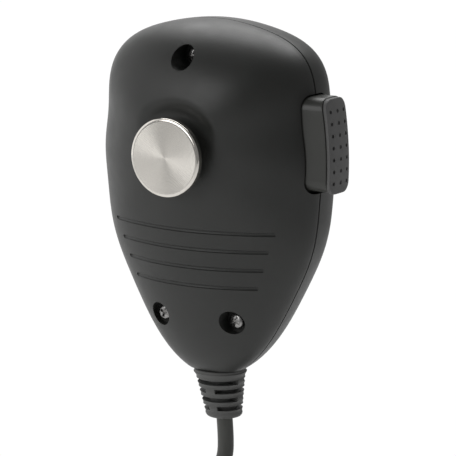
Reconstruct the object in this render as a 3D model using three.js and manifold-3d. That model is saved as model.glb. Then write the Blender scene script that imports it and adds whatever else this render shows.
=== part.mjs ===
// Hand microphone with a push-to-talk bar, a steel hang-up button and a corded round plug.
// Millimetres, +Z up. The origin is the centre of the hang-up button's outer face.
// The back of the microphone faces -Y, the speaking side +Y and the talk bar +X.
import * as THREE from 'three';
import { mergeVertices } from 'three/addons/utils/BufferGeometryUtils.js';
import Module from 'manifold-3d';

const wasm = await Module();
wasm.setup();

// ---- driving dimensions ----
const GAP = 0.3;                      // clearance between pieces that touch on the real object
const WALL = 2.2;                     // shell wall
const PARTING_Y = 23.87;              // plane where the two shells meet
const OUTLINE_Z = 2.24;               // height of the outline's polar centre
// outline radius every 20 degrees, from straight up round to straight down
const OUTLINE_TOP_DEG = 90;
const OUTLINE_KNOTS = [30.5, 31.3, 33.8, 33.6, 30.9, 32.2, 35.6, 42.5, 53.0, 62.9];
const BACK_CROWN = [19.13, 6.77, 4.83];   // crown height, its slope and its curvature along z
const CROWN_SPAN = 50;                // length that the slope and the curvature refer to
const FRONT_DEPTH = 13.8;
const SHELL_BOTTOM_Z = -58.6;
const SHELL_FLOOR_Z = -55.8;          // inside of the bottom wall

const BUTTON_RADIUS = 10;
const BUTTON_HEAD = 1.9;
const BUTTON_NECK_RADIUS = 4.2;
const DISH_RADIUS = 12.7;             // shallow dish round the button's neck
const DISH_Y = 5.9;

const SCREW_WELL_RADIUS = 3.15;
const SCREW_HEAD = { radius: 2.0, height: 1.6 };
const SCREW_SHANK_RADIUS = 1.3;
const SCREW_SHANK = 12;
const CASE_SCREWS = {
  case_screw_top: { x: 0, z: 24.2, seat: 15.5 },
  case_screw_lower_left: { x: -10.7, z: -43.7, seat: 18.4 },
  case_screw_lower_right: { x: 10.7, z: -43.7, seat: 18.4 },
};

const GROOVE_Z = [-19.6, -24.4, -29.3, -34.2];
const GROOVE_HALF = [23.9, 21.9, 20.2, 18.4];
const GROOVE_HEIGHT = 1.0;
const GROOVE_DEPTH = 0.45;

const TALK = {                        // push-to-talk bar
  y: 24.1, z: 3.1, width: 10.4, length: 23.8, corner: 3.0,
  innerX: 27.5, faceX: 37.0, crown: 1.6, crownZ: -2.5, crownSpan: 17, padThickness: 1.3,
};
const PAD = { y: 24.2, z: 2.6, width: 9.8, length: 23.6, corner: 2.8 };
const DIMPLE = { rows: 7, columns: 3, rowPitch: 3.0, columnPitch: 3.2, radius: 0.55, depth: 0.6 };
const PIVOT = { x: 25.6, z: 12.4, radius: 0.8, from: 16.6, to: 31.2 };

const BOARD = { y: 24.2, thickness: 1.6, left: -16, right: 16, bottom: -32, top: 20 };
const BOARD_SCREWS = [{ x: -12, z: 15 }, { x: 12, z: -26 }];
const CAPSULE = { z: 12, radius: 4.85, from: 28.4, to: 33.4 };
const HOLDER_RADIUS = 7;

const BOOT_Y = 26.5;                  // cord entry: centre and level
const BOOT_TOP_Z = -58.9;
const BOOT_END_Z = -72.3;
const BOOT_LEAN = 0.16;
const BOOT_ROWS = [-62.1, -64.5, -66.95, -69.35];
const BOOT_ROW_RADIUS = [6.35, 5.95, 5.6, 5.2];
const BOOT_SLOT = { height: 1.25, core: 3.6, halfAngle: 77 };
const BOOT_BORE = 2.45;
const BOOT_NECK_RADIUS = 3.95;
const BOOT_FLANGE_RADIUS = 5.2;       // holds the boot inside the shells

const CORD_RADIUS = 2.15;
const COIL = { x: 8, y: 33, z: -124.7, radius: 22.5, lanes: 4 };
const TAIL_Z = -172;                  // where the cord ends in the plug
const PLUG_CONTACTS = 7;              // round the middle one

// ---- helpers ----
const rad = THREE.MathUtils.degToRad;

function solidOf(geometry) {
  const bare = geometry.clone();
  bare.deleteAttribute('normal');
  bare.deleteAttribute('uv');
  const merged = mergeVertices(bare, 1e-4);
  const index = merged.index.array;
  const triVerts = [];
  for (let i = 0; i < index.length; i += 3) {
    const [a, b, c] = [index[i], index[i + 1], index[i + 2]];
    if (a !== b && b !== c && c !== a) triVerts.push(a, b, c);
  }
  const vertProperties = new Float32Array(merged.attributes.position.array);
  const mesh = new wasm.Mesh({ numProp: 3, vertProperties, triVerts: new Uint32Array(triVerts) });
  return new wasm.Manifold(mesh);
}

function geometryOf(solid) {
  const mesh = solid.getMesh();
  const geometry = new THREE.BufferGeometry();
  geometry.setAttribute('position', new THREE.BufferAttribute(mesh.vertProperties, 3));
  geometry.setIndex(new THREE.BufferAttribute(mesh.triVerts, 1));
  geometry.computeVertexNormals();
  return geometry;
}

// a box given by its low and high corners
function block(low, high) {
  const size = high.map((value, i) => value - low[i]);
  const middle = high.map((value, i) => (value + low[i]) / 2);
  return solidOf(new THREE.BoxGeometry(...size).translate(...middle));
}

// a round bar along y, centred on (x, z)
function barY(x, z, radius, from, to, sides = 24) {
  const geometry = new THREE.CylinderGeometry(radius, radius, to - from, sides);
  return solidOf(geometry.translate(x, (from + to) / 2, z));
}

function barZ(x, y, radius, from, to, sides = 24) {
  const geometry = new THREE.CylinderGeometry(radius, radius, to - from, sides);
  return solidOf(geometry.rotateX(Math.PI / 2).translate(x, y, (from + to) / 2));
}

function barX(y, z, radius, from, to, sides = 24) {
  const geometry = new THREE.CylinderGeometry(radius, radius, to - from, sides);
  return solidOf(geometry.rotateZ(Math.PI / 2).translate((from + to) / 2, y, z));
}

// a turned piece: [radius, height] pairs spun about y
function turned(profile, sides = 32) {
  return new THREE.LatheGeometry(profile.map(([r, y]) => new THREE.Vector2(r, y)), sides);
}

// a rounded rectangle about (0, 0)
function roundedRectangle(width, height, corner) {
  const [w, h] = [width / 2 - corner, height / 2 - corner];
  const shape = new THREE.Shape();
  shape.absarc(w, h, corner, 0, Math.PI / 2);
  shape.absarc(-w, h, corner, Math.PI / 2, Math.PI);
  shape.absarc(-w, -h, corner, Math.PI, 1.5 * Math.PI);
  shape.absarc(w, -h, corner, 1.5 * Math.PI, 2 * Math.PI);
  return shape;
}

// a rounded rectangle in the y-z plane pulled along x
function prismX(y, z, width, height, corner, from, to, curveSegments = 5) {
  const shape = roundedRectangle(width, height, corner);
  const geometry = new THREE.ExtrudeGeometry(shape, { depth: to - from, bevelEnabled: false, curveSegments });
  // the shape's x and y become y and z, and the pull becomes x
  geometry.applyMatrix4(new THREE.Matrix4().makeBasis(
    new THREE.Vector3(0, 1, 0), new THREE.Vector3(0, 0, 1), new THREE.Vector3(1, 0, 0)));
  return solidOf(geometry.translate(from, y, z));
}

// an x-z shape pulled along y
function prismY(shape, from, to, curveSegments = 4) {
  const geometry = new THREE.ExtrudeGeometry(shape, { depth: to - from, bevelEnabled: false, curveSegments });
  return solidOf(geometry.rotateX(Math.PI / 2).translate(0, to, 0));
}

// a tube along a smooth curve through points
function tube(points, radius, sides, steps) {
  const shape = new THREE.Shape();
  shape.setFromPoints(Array.from({ length: sides }, (_, i) => {
    const angle = 2 * Math.PI * i / sides;
    return new THREE.Vector2(radius * Math.cos(angle), radius * Math.sin(angle));
  }));
  const extrudePath = new THREE.CatmullRomCurve3(points.map((p) => new THREE.Vector3(...p)));
  return new THREE.ExtrudeGeometry(shape, { extrudePath, steps, bevelEnabled: false });
}

const microphone = new THREE.Group();

function add(name, shape, color, roughness, metalness = 0, parent = microphone) {
  const geometry = shape.isBufferGeometry ? shape : geometryOf(shape);
  const mesh = new THREE.Mesh(geometry, new THREE.MeshStandardMaterial({ color, roughness, metalness }));
  mesh.name = name;
  parent.add(mesh);
  return mesh;
}

// ---- the pebble form that both shells share ----
// the outline radius at an angle above +x, mirror symmetric about the z axis
function outlineRadius(angle) {
  const degrees = THREE.MathUtils.radToDeg(Math.asin(Math.sin(angle)));
  const place = (OUTLINE_TOP_DEG - degrees) / 20;
  const last = OUTLINE_KNOTS.length - 1;
  const knot = (i) => OUTLINE_KNOTS[i < 0 ? -i : i > last ? 2 * last - i : i];
  const i = Math.min(Math.floor(place), last - 1);
  const t = place - i;
  const [a, b, c, d] = [knot(i - 1), knot(i), knot(i + 1), knot(i + 2)];
  return b + 0.5 * t * (c - a + t * (2 * a - 5 * b + 4 * c - d + t * (3 * (b - c) + d - a)));
}

// the whole form, drawn in by an inset. Fraction 0 is the middle of a face and 1 the rim
function pebble(inset, around = 40) {
  const BACK_RINGS = 10;
  const FRONT_RINGS = 7;
  const profile = [];
  for (let i = 0; i <= BACK_RINGS; i++) {
    const t = (Math.PI / 2) * i / BACK_RINGS;
    profile.push([i ? Math.sin(t) : 0, -(Math.cos(t) ** (2 / 1.79))]);
  }
  profile[BACK_RINGS] = [1, 0];
  for (let i = FRONT_RINGS - 1; i >= 0; i--) {
    const t = (Math.PI / 2) * i / FRONT_RINGS;
    profile.push([i ? Math.sin(t) ** (2 / 11.8) : 0, Math.cos(t) ** (2 / 2.32)]);
  }
  const geometry = turned(profile, around);
  const position = geometry.attributes.position;
  for (let i = 0; i < position.count; i++) {
    const [across, depth, up] = [position.getX(i), position.getY(i), position.getZ(i)];
    const fraction = Math.hypot(across, up);
    const radius = outlineRadius(Math.atan2(up, across)) - inset;
    const size = fraction * radius;
    const angle = Math.atan2(up, across);
    const z = OUTLINE_Z + size * Math.sin(angle);
    const q = (z - OUTLINE_Z) / CROWN_SPAN;
    const crown = BACK_CROWN[0] + BACK_CROWN[1] * q + BACK_CROWN[2] * q * q - inset;
    const y = PARTING_Y + depth * (depth < 0 ? crown : FRONT_DEPTH - inset);
    position.setXYZ(i, size * Math.cos(angle), y, z);
  }
  const solid = solidOf(geometry);
  return solid.volume() > 0 ? solid : solidOf(flipped(geometry));
}

// the same triangles facing the other way
function flipped(geometry) {
  const index = geometry.index.array;
  for (let i = 0; i < index.length; i += 3) [index[i], index[i + 1]] = [index[i + 1], index[i]];
  return geometry;
}

const FAR = 90;
const outer = pebble(0).subtract(block([-FAR, -FAR, -FAR], [FAR, FAR, SHELL_BOTTOM_Z]));
const inner = pebble(WALL).subtract(block([-FAR, -FAR, -FAR], [FAR, FAR, SHELL_FLOOR_Z]));
const rearSide = block([-FAR, -FAR, -FAR], [FAR, PARTING_Y - GAP / 2, FAR]);
const frontSide = block([-FAR, PARTING_Y + GAP / 2, -FAR], [FAR, FAR, FAR]);

// the opening for the talk bar, with room for its swing at the lower end
const SWING_ROOM = 0.4;
const talkOpening = prismX(
  TALK.y, TALK.z - SWING_ROOM / 2,
  TALK.width + 2 * 0.45, TALK.length + 2 * 0.45 + SWING_ROOM, TALK.corner + 0.45, 26.8, FAR);
const cordOpening = barZ(0, cordAxisY(-57.2), BOOT_NECK_RADIUS + 0.55, -FAR, SHELL_FLOOR_Z + 1);

function wells() {
  return Object.values(CASE_SCREWS);
}

function rearShell() {
  let shell = outer.intersect(rearSide).subtract(inner);
  const inside = outer.intersect(rearSide);
  for (const { x, z, seat } of wells()) {
    shell = shell.add(barY(x, z, 4.7, -5, seat + 1.8).intersect(inside));
  }
  shell = shell.add(barY(0, 0, 8, 4, 9).intersect(inside));
  shell = shell.add(barY(PIVOT.x, PIVOT.z, 2.3, 12, 19.6).intersect(inside));
  shell = shell.subtract(barY(0, 0, DISH_RADIUS, -FAR, DISH_Y, 36));
  shell = shell.subtract(barY(0, 0, 1.8, 0, 12, 16));
  shell = shell.subtract(barY(PIVOT.x, PIVOT.z, PIVOT.radius + GAP, PIVOT.from - GAP, 25, 16));
  for (const { x, z, seat } of wells()) {
    shell = shell.subtract(barY(x, z, SCREW_WELL_RADIUS, -FAR, seat, 20));
    shell = shell.subtract(barY(x, z, SCREW_SHANK_RADIUS + 0.35, 0, FAR, 16));
  }
  const grooveBand = pebble(-1.5).subtract(pebble(GROOVE_DEPTH));
  GROOVE_Z.forEach((z, i) => {
    const slot = roundedRectangle(2 * GROOVE_HALF[i], GROOVE_HEIGHT, GROOVE_HEIGHT / 2 - 0.01);
    const cutter = prismY(slot, -20, PARTING_Y - 1).translate([0, 0, z]);
    shell = shell.subtract(cutter.intersect(grooveBand));
  });
  return shell.subtract(talkOpening).subtract(cordOpening);
}

function frontShell() {
  const inside = outer.intersect(frontSide);
  let shell = inside.subtract(inner);
  const frontWall = PARTING_Y + FRONT_DEPTH - WALL / 2;
  let posts = null;
  const grow = (piece) => { posts = posts ? posts.add(piece) : piece; };
  for (const { x, z, seat } of wells()) grow(barY(x, z, 3.3, seat + 1.8 + GAP, frontWall, 20));
  for (const { x, z } of BOARD_SCREWS) {
    grow(barY(x, z, 2.6, BOARD.y + BOARD.thickness + GAP, frontWall, 16));
  }
  grow(barY(PIVOT.x, PIVOT.z, 2.3, 28.6, frontWall, 20));
  grow(block([18.9, 21, 2], [20.6, frontWall, 8]));
  const ring = barY(0, CAPSULE.z, HOLDER_RADIUS + GAP + 1.4, 29.5, frontWall, 32);
  grow(ring.subtract(barY(0, CAPSULE.z, HOLDER_RADIUS + GAP, 0, FAR, 32)));
  const room = outer.subtract(block([-FAR, -FAR, -FAR], [FAR, 15, FAR]));
  shell = shell.add(posts.intersect(room));
  for (const { x, z, seat } of wells()) {
    shell = shell.subtract(barY(x, z, SCREW_SHANK_RADIUS + GAP, 0, seat + SCREW_SHANK + 1.5, 16));
  }
  for (const { x, z } of BOARD_SCREWS) shell = shell.subtract(barY(x, z, 1.3, 0, 32, 12));
  shell = shell.subtract(barY(PIVOT.x, PIVOT.z, PIVOT.radius + GAP, 0, PIVOT.to + GAP, 16));
  for (let i = -2; i <= 2; i++) {
    const slot = roundedRectangle(12 - 2 * Math.abs(i), 1.1, 0.54);
    shell = shell.subtract(prismY(slot, 34, FAR, 3).translate([0, 0, CAPSULE.z + 2.3 * i]));
  }
  return shell.subtract(talkOpening).subtract(cordOpening);
}

const BODY_GREY = 0x3a3b39;
add('rear_shell', rearShell(), BODY_GREY, 0.6);
add('front_shell', frontShell(), BODY_GREY, 0.65);

// ---- hang-up button, held by a screw from inside ----
add('hang_up_button', solidOf(turned([
  [0, 0], [BUTTON_RADIUS - 0.55, 0], [BUTTON_RADIUS, 0.45], [BUTTON_RADIUS, BUTTON_HEAD],
  [BUTTON_NECK_RADIUS, BUTTON_HEAD], [BUTTON_NECK_RADIUS, DISH_Y - GAP],
  [1.75, DISH_Y - GAP], [1.75, 2.4], [0, 2.4],
], 36)), 0xcdc8c0, 0.3, 1);
add('hang_button_washer', turned([
  [1.75, 9.3], [4, 9.3], [4, 10.1], [1.75, 10.1], [1.75, 9.3],
], 24), 0xb8b8b8, 0.4, 1);
add('hang_button_screw', turned([
  [0, 3], [1.4, 3], [1.4, 10.4], [2.8, 10.4], [2.6, 12.4], [0, 12.4],
], 20), 0x8d8d8d, 0.4, 1);

// ---- screws ----
// a cross-recessed pan-head screw: head towards -y, the seat of its head at y = 0
function screw(headRadius, headHeight, shankRadius, length) {
  const body = solidOf(turned([
    [0, -headHeight], [headRadius * 0.72, -headHeight], [headRadius, -headHeight * 0.6],
    [headRadius, 0], [shankRadius, 0], [shankRadius, length - 1], [0.2, length], [0, length],
  ], 12));
  const [long, wide] = [headRadius * 0.62, headRadius * 0.17];
  const recess = block([-long, -9, -wide], [long, -headHeight * 0.4, wide])
    .add(block([-wide, -9, -long], [wide, -headHeight * 0.4, long]));
  return geometryOf(body.subtract(recess));
}

for (const [name, { x, z, seat }] of Object.entries(CASE_SCREWS)) {
  const geometry = screw(SCREW_HEAD.radius, SCREW_HEAD.height, SCREW_SHANK_RADIUS, SCREW_SHANK);
  add(name, geometry, 0x55534f, 0.35, 1).position.set(x, seat - GAP, z);
}
BOARD_SCREWS.forEach(({ x, z }, i) => {
  add(`board_screw_${i + 1}`, screw(1.9, 1.3, 1.0, 6.5), 0x9a9a98, 0.35, 1).position.set(x, BOARD.y - GAP, z);
});

// ---- talk bar, its rubber pad, pin and spring ----
// how far out the pad's face stands at height z
function talkFace(z) {
  return TALK.faceX - TALK.crown * ((z - TALK.crownZ) / TALK.crownSpan) ** 2;
}

// the x-z outline between x = from and the face less a depth
function talkProfile(from, depth) {
  const [low, high, steps] = [-14, 20, 14];
  const shape = new THREE.Shape();
  shape.moveTo(from, high);
  for (let i = 0; i <= steps; i++) {
    const z = high + (low - high) * i / steps;
    shape.lineTo(talkFace(z) - depth, z);
  }
  shape.lineTo(from, low);
  return shape;
}

function talkBar() {
  const { y, z, width, length, corner, innerX, padThickness } = TALK;
  let bar = prismX(y, z, width, length, corner, innerX, 45)
    .intersect(prismY(talkProfile(innerX - 5, padThickness + GAP), 10, 40));
  bar = bar.add(block([23.3, 20.1, 10.2], [innerX + 1, 28.1, 14.6]));
  bar = bar.add(block([20, 19.9, -4.4], [innerX + 1, 22.5, -1.6]));
  bar = bar.add(block([26.5, 21, -11], [28.2, 27.2, -7]));
  return bar.subtract(barY(PIVOT.x, PIVOT.z, PIVOT.radius + GAP, 0, FAR, 16));
}

function talkPad() {
  const { y, z, width, length, corner } = PAD;
  let pad = prismX(y, z, width, length, corner, 30, 45)
    .intersect(prismY(talkProfile(10, 0), 10, 40))
    .subtract(prismY(talkProfile(10, TALK.padThickness), 10, 40));
  for (let row = 0; row < DIMPLE.rows; row++) {
    for (let column = 0; column < DIMPLE.columns; column++) {
      const dz = (row - (DIMPLE.rows - 1) / 2) * DIMPLE.rowPitch;
      const dy = (column - (DIMPLE.columns - 1) / 2) * DIMPLE.columnPitch;
      const from = talkFace(z + dz) - DIMPLE.depth;
      pad = pad.subtract(barX(y + dy, z + dz, DIMPLE.radius, from, FAR, 8));
    }
  }
  return pad;
}

add('ptt_bar', talkBar(), 0x393a35, 0.55);
add('ptt_grip_pad', talkPad(), 0x565655, 0.75);
add('ptt_pivot_pin', barY(PIVOT.x, PIVOT.z, PIVOT.radius, PIVOT.from, PIVOT.to, 16), 0xb4b4b4, 0.3, 1);

const SPRING = { from: 20.95, to: 27.15, radius: 1.9, wire: 0.28, turns: 5, y: 24.1, z: 5 };
function returnSpring() {
  const points = [];
  const perTurn = 8;
  for (let i = 0; i <= SPRING.turns * perTurn; i++) {
    const angle = 2 * Math.PI * i / perTurn;
    const t = i / (SPRING.turns * perTurn);
    points.push([
      SPRING.from + SPRING.wire + t * (SPRING.to - SPRING.from - 2 * SPRING.wire),
      SPRING.y + SPRING.radius * Math.cos(angle),
      SPRING.z + SPRING.radius * Math.sin(angle),
    ]);
  }
  return tube(points, SPRING.wire, 5, SPRING.turns * perTurn);
}
add('ptt_return_spring', returnSpring(), 0xa8a8a8, 0.3, 1);

// ---- circuit board and what it carries ----
function circuitBoard() {
  let board = block(
    [BOARD.left, BOARD.y, BOARD.bottom], [BOARD.right, BOARD.y + BOARD.thickness, BOARD.top]);
  for (const { x, z } of BOARD_SCREWS) board = board.subtract(barY(x, z, 1.35, 0, FAR, 12));
  return board;
}
const boardBack = BOARD.y - GAP;
add('circuit_board', circuitBoard(), 0x1e5a34, 0.5);
const SWITCH = { y: 21.2, z: -3, left: 9.5, right: 16.5 };
add('switch_body', block([SWITCH.left, 18.6, SWITCH.z - 3], [SWITCH.right, boardBack, SWITCH.z + 3])
  .subtract(barX(SWITCH.y, SWITCH.z, 1.5, SWITCH.right - 2.2, FAR, 16)), 0x202020, 0.5);
add('switch_plunger', barX(SWITCH.y, SWITCH.z, 1.2, SWITCH.right - 0.9, 19.4, 16), 0xb9b4a8, 0.5);
add('capacitor', barY(-8, -8, 2.5, 16.9, boardBack, 20), 0x25303a, 0.4);
add('preamp_chip', block([-2.5, 22.3, -1], [2.5, boardBack, 5]), 0x1a1a1a, 0.5);
add('mic_capsule', barY(0, CAPSULE.z, CAPSULE.radius, CAPSULE.from, CAPSULE.to, 24), 0xb0b0ac, 0.35, 1);
add('capsule_holder', turned([
  [CAPSULE.radius + GAP, 27.6], [HOLDER_RADIUS, 27.6], [HOLDER_RADIUS, 33.7],
  [CAPSULE.radius + GAP, 33.7], [CAPSULE.radius + GAP, 27.6],
], 28).translate(0, 0, CAPSULE.z), 0x1c1c1c, 0.85);
add('grille_felt', barY(0, CAPSULE.z, HOLDER_RADIUS - 0.2, 34, 35.1, 24), 0x161616, 0.95);
for (const [i, x] of [-1.3, 1.3].entries()) {
  const lead = barY(x, CAPSULE.z, 0.35, BOARD.y + BOARD.thickness + GAP, CAPSULE.from - GAP, 8);
  add(`capsule_lead_${i + 1}`, lead, 0xc9c9c4, 0.3, 1);
}

// ---- strain relief: a rubber boot with four rows of slots ----
// the cord's axis leans forward: its y at height z
function cordAxisY(z) {
  return BOOT_Y + (BOOT_TOP_Z - z) * BOOT_LEAN;
}

function strainRelief() {
  const profile = [
    [BOOT_BORE, -53], [BOOT_FLANGE_RADIUS, -53], [BOOT_FLANGE_RADIUS, -55.5],
    [BOOT_NECK_RADIUS, -55.5], [BOOT_NECK_RADIUS, BOOT_TOP_Z], [6.4, BOOT_TOP_Z],
  ];
  BOOT_ROWS.forEach((z, i) => {
    const radius = BOOT_ROW_RADIUS[i];
    profile.push([radius - 0.35, z + 1.2], [radius, z + 0.5], [radius, z - 0.5]);
  });
  profile.push([4.7, -71], [3.9, BOOT_END_Z], [BOOT_BORE, BOOT_END_Z], [BOOT_BORE, -53]);
  let boot = solidOf(turned(profile, 24));
  if (boot.volume() < 0) boot = solidOf(turned([...profile].reverse(), 24));
  // rows of slots, each row turned a quarter from the one above; height runs along y here
  BOOT_ROWS.forEach((z, row) => {
    for (const side of [0, 1]) {
      const start = rad(90 * (row % 2) + 180 * side - BOOT_SLOT.halfAngle);
      const end = start + rad(2 * BOOT_SLOT.halfAngle);
      const sector = new THREE.Shape();
      sector.absarc(0, 0, 9, start, end, false);
      sector.absarc(0, 0, BOOT_SLOT.core, end, start, true);
      const geometry = new THREE.ExtrudeGeometry(sector, {
        depth: BOOT_SLOT.height, bevelEnabled: false, curveSegments: 6,
      });
      // the shape's x looks along -z and its pull along -y, so row 0 opens to the back and the front
      geometry.applyMatrix4(new THREE.Matrix4().makeBasis(
        new THREE.Vector3(0, 0, -1), new THREE.Vector3(1, 0, 0), new THREE.Vector3(0, -1, 0)));
      boot = boot.subtract(solidOf(geometry.translate(0, z + BOOT_SLOT.height / 2, 0)));
    }
  });
  const geometry = geometryOf(boot).rotateX(Math.PI / 2);
  // turning about x sends the height to z; then each level moves onto the cord's axis
  const position = geometry.attributes.position;
  for (let i = 0; i < position.count; i++) {
    const z = position.getZ(i);
    position.setY(i, position.getY(i) + cordAxisY(z));
  }
  return geometry;
}
add('strain_relief', strainRelief(), 0x474846, 0.7);

const CORD_START_Z = -47.5;
const cordInside = [CORD_START_Z, BOOT_END_Z].map((z) => [0, cordAxisY(z), z]);
add('cord_inner_end', tube(cordInside, CORD_RADIUS, 10, 8), 0x343533, 0.6);
const TIE_Z = -50.5;
const tieBore = BOOT_BORE + 0.25;
add('cord_anchor_tie', turned([
  [tieBore, -1.2], [4.1, -1.2], [4.1, 1.2], [tieBore, 1.2], [tieBore, -1.2],
], 20).rotateX(Math.PI / 2).translate(0, cordAxisY(TIE_Z), TIE_Z), 0x1d1d1d, 0.6);
const WIRE_COLORS = [0xb8b8b2, 0xa42a22, 0x2d5f9e, 0xc7a52c];
WIRE_COLORS.forEach((color, i) => {
  const x = (i - 1.5) * 1.15;
  const route = [
    [x, cordAxisY(CORD_START_Z), CORD_START_Z + GAP], [x * 1.2, 24.2, -43], [x * 2.2, 22.9, -37],
    [x * 3, 22.6, -33], [x * 3, boardBack - 0.9, -28],
  ];
  add(`wire_${i + 1}`, tube(route, 0.42, 6, 12), color, 0.6);
});

// ---- cord: a straight drop, then a tied coil, then the plug ----
const cordOuter = COIL.radius + CORD_RADIUS;
const cordSide = (COIL.lanes - 1) * CORD_RADIUS;
const BEND = 10;                       // radius of the turn into the coil
const bendZ = COIL.z + cordOuter + BEND;
const bendX = COIL.x - BEND;
const LEAD_END_DEG = 34;               // how far round the bend the straight stretch's solid runs
const leadBend = [12, 24, LEAD_END_DEG].map((degrees) => [
  bendX + BEND * (1 - Math.cos(rad(degrees))),
  COIL.y - cordSide,
  bendZ - BEND * Math.sin(rad(degrees)),
]);
const cordRoute = [
  [0, 28.7, -72.6], [0, 29.2, -76.5], [0, 29.4, -80], [0, 29.2, -83.5],
  [bendX * 0.6, 28, -87.2], [bendX, 26.8, bendZ], ...leadBend,
];
add('cord_drop', tube(cordRoute, CORD_RADIUS, 10, 14), 0x343533, 0.6);

const [ringLow, ringHigh] = [cordOuter - 4 * CORD_RADIUS + CORD_RADIUS, cordOuter + CORD_RADIUS];
const ringSide = COIL.lanes * CORD_RADIUS;
const ROUND = 1.6;
const coilProfile = [
  [ringLow, -ringSide + ROUND], [ringLow + ROUND, -ringSide], [ringHigh - ROUND, -ringSide],
  [ringHigh, -ringSide + ROUND], [ringHigh, ringSide - ROUND], [ringHigh - ROUND, ringSide],
  [ringLow + ROUND, ringSide], [ringLow, ringSide - ROUND], [ringLow, -ringSide + ROUND],
];
add('cord_coil', turned(coilProfile, 28), 0x343533, 0.6).position.set(COIL.x, COIL.y, COIL.z);

const tailX = COIL.x + cordOuter;
const tailY = COIL.y + cordSide;
const tailRoute = [COIL.z - 15.8, COIL.z - 25, COIL.z - 35, TAIL_Z].map((z) => [tailX, tailY, z]);
add('cord_tail', tube(tailRoute, CORD_RADIUS, 10, 6), 0x343533, 0.6);

// a strap round the bundle at the lowest point of the coil
function coilTie() {
  const [slack, thick, half] = [0.7, 1.2, 5];
  const [low, high] = [COIL.z - ringHigh - slack, COIL.z - ringLow + slack + 0.3];
  const [near, far] = [COIL.y - ringSide - GAP, COIL.y + ringSide + GAP];
  const body = block(
    [COIL.x - half, near - thick, low - thick], [COIL.x + half, far + thick, high + thick]);
  return body.subtract(block([-FAR, near, low], [FAR, far, high]));
}
add('coil_tie', coilTie(), 0x1b1b1b, 0.8);

// ---- the plug: built about y, mating end at +y, then hung from the cord's end ----
const plug = new THREE.Group();
plug.position.set(tailX, tailY, TAIL_Z - GAP);
plug.rotation.x = -Math.PI / 2;
microphone.add(plug);

add('plug_bushing', turned([
  [0, 0], [3.4, 0], [4.3, 1], [4.3, 7], [3.2, 7], [3.2, 9], [0, 9],
], 24), 0x1f1f1f, 0.75, 0, plug);
add('plug_shell', turned([
  [0, 9.3], [3.6, 9.3], [3.6, 7.3], [6.2, 7.3], [7.4, 10], [7.4, 27.5], [8.0, 27.5], [8.0, 32],
  [6.9, 32], [6.9, 14], [0, 14],
], 24), 0xc4c4c0, 0.28, 1, plug);
const contactPlaces = [[0, 0]];
for (let i = 0; i < PLUG_CONTACTS; i++) {
  const angle = 2 * Math.PI * i / PLUG_CONTACTS;
  contactPlaces.push([4.3 * Math.sin(angle), 4.3 * Math.cos(angle)]);
}
let insulator = barY(0, 0, 6.6, 20, 30, 24);
for (const [x, z] of contactPlaces) insulator = insulator.subtract(barY(x, z, 1.15, 15, 35, 8));
add('plug_insulator', insulator, 0x8a6a3c, 0.55, 0, plug);
contactPlaces.forEach(([x, z], i) => {
  const contact = turned([[0, 17.5], [0.85, 17.5], [0.85, 29.6], [0.45, 29.6], [0.45, 23], [0, 23]], 8);
  add(`plug_contact_${i + 1}`, contact, 0xd8c27a, 0.25, 1, plug).position.set(x, 0, z);
});
function lockingRing() {
  const ridges = 18;
  const points = [];
  for (let i = 0; i < 2 * ridges; i++) {
    const angle = Math.PI * i / ridges;
    const radius = i % 2 ? 9.25 : 9.6;
    points.push(new THREE.Vector2(radius * Math.cos(angle), radius * Math.sin(angle)));
  }
  const body = prismY(new THREE.Shape(points), 24.5, 37.5);
  return body.subtract(barY(0, 0, 7.7, 0, 50, 24)).subtract(barY(0, 0, 8.35, 27.2, 50, 24));
}
add('plug_locking_ring', lockingRing(), 0xc9c9c5, 0.3, 1, plug);

export default microphone;
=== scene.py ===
"""Builds the looks of a corded hand microphone round its packed frame."""

import math

import bmesh
import bpy
from mathutils import Matrix, Vector


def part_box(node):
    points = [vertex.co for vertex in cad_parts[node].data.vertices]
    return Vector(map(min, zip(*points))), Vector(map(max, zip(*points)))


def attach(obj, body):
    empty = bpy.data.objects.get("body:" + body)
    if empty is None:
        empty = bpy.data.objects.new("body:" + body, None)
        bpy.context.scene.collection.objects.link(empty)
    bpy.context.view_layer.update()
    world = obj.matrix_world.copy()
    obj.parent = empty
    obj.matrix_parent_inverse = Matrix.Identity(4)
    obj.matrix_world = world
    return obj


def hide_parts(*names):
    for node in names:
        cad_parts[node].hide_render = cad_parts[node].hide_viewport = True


bl_info = {
    "name": "Hand Microphone",
    "version": (1, 0, 0),
    "blender": (4, 5, 0),
    "location": "3D View > Sidebar > Microphone",
    "description": "Case, talk bar, hang-up button, strain relief, cord and plug of a hand microphone",
    "category": "Add Mesh",
}

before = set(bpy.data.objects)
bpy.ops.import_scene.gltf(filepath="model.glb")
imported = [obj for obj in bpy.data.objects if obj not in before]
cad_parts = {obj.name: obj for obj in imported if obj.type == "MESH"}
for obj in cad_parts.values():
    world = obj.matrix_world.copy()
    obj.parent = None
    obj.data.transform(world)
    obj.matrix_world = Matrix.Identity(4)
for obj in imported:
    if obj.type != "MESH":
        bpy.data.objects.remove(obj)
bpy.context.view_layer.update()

MM = 0.001
GAP = 0.3 * MM

# the pebble form that both shells share
PARTING_Y = 23.87 * MM
SEAM = 0.27 * MM  # each shell stops this far short of the parting plane
SEAM_EASE = 0.12 * MM
OUTLINE_Z = 2.24 * MM
# radii in millimetres about the outline's centre, at even angles from the top to the bottom
OUTLINE_KNOTS = [30.5, 31.3, 33.8, 33.6, 30.9, 32.2, 35.6, 42.5, 53.0, 62.9]
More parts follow.
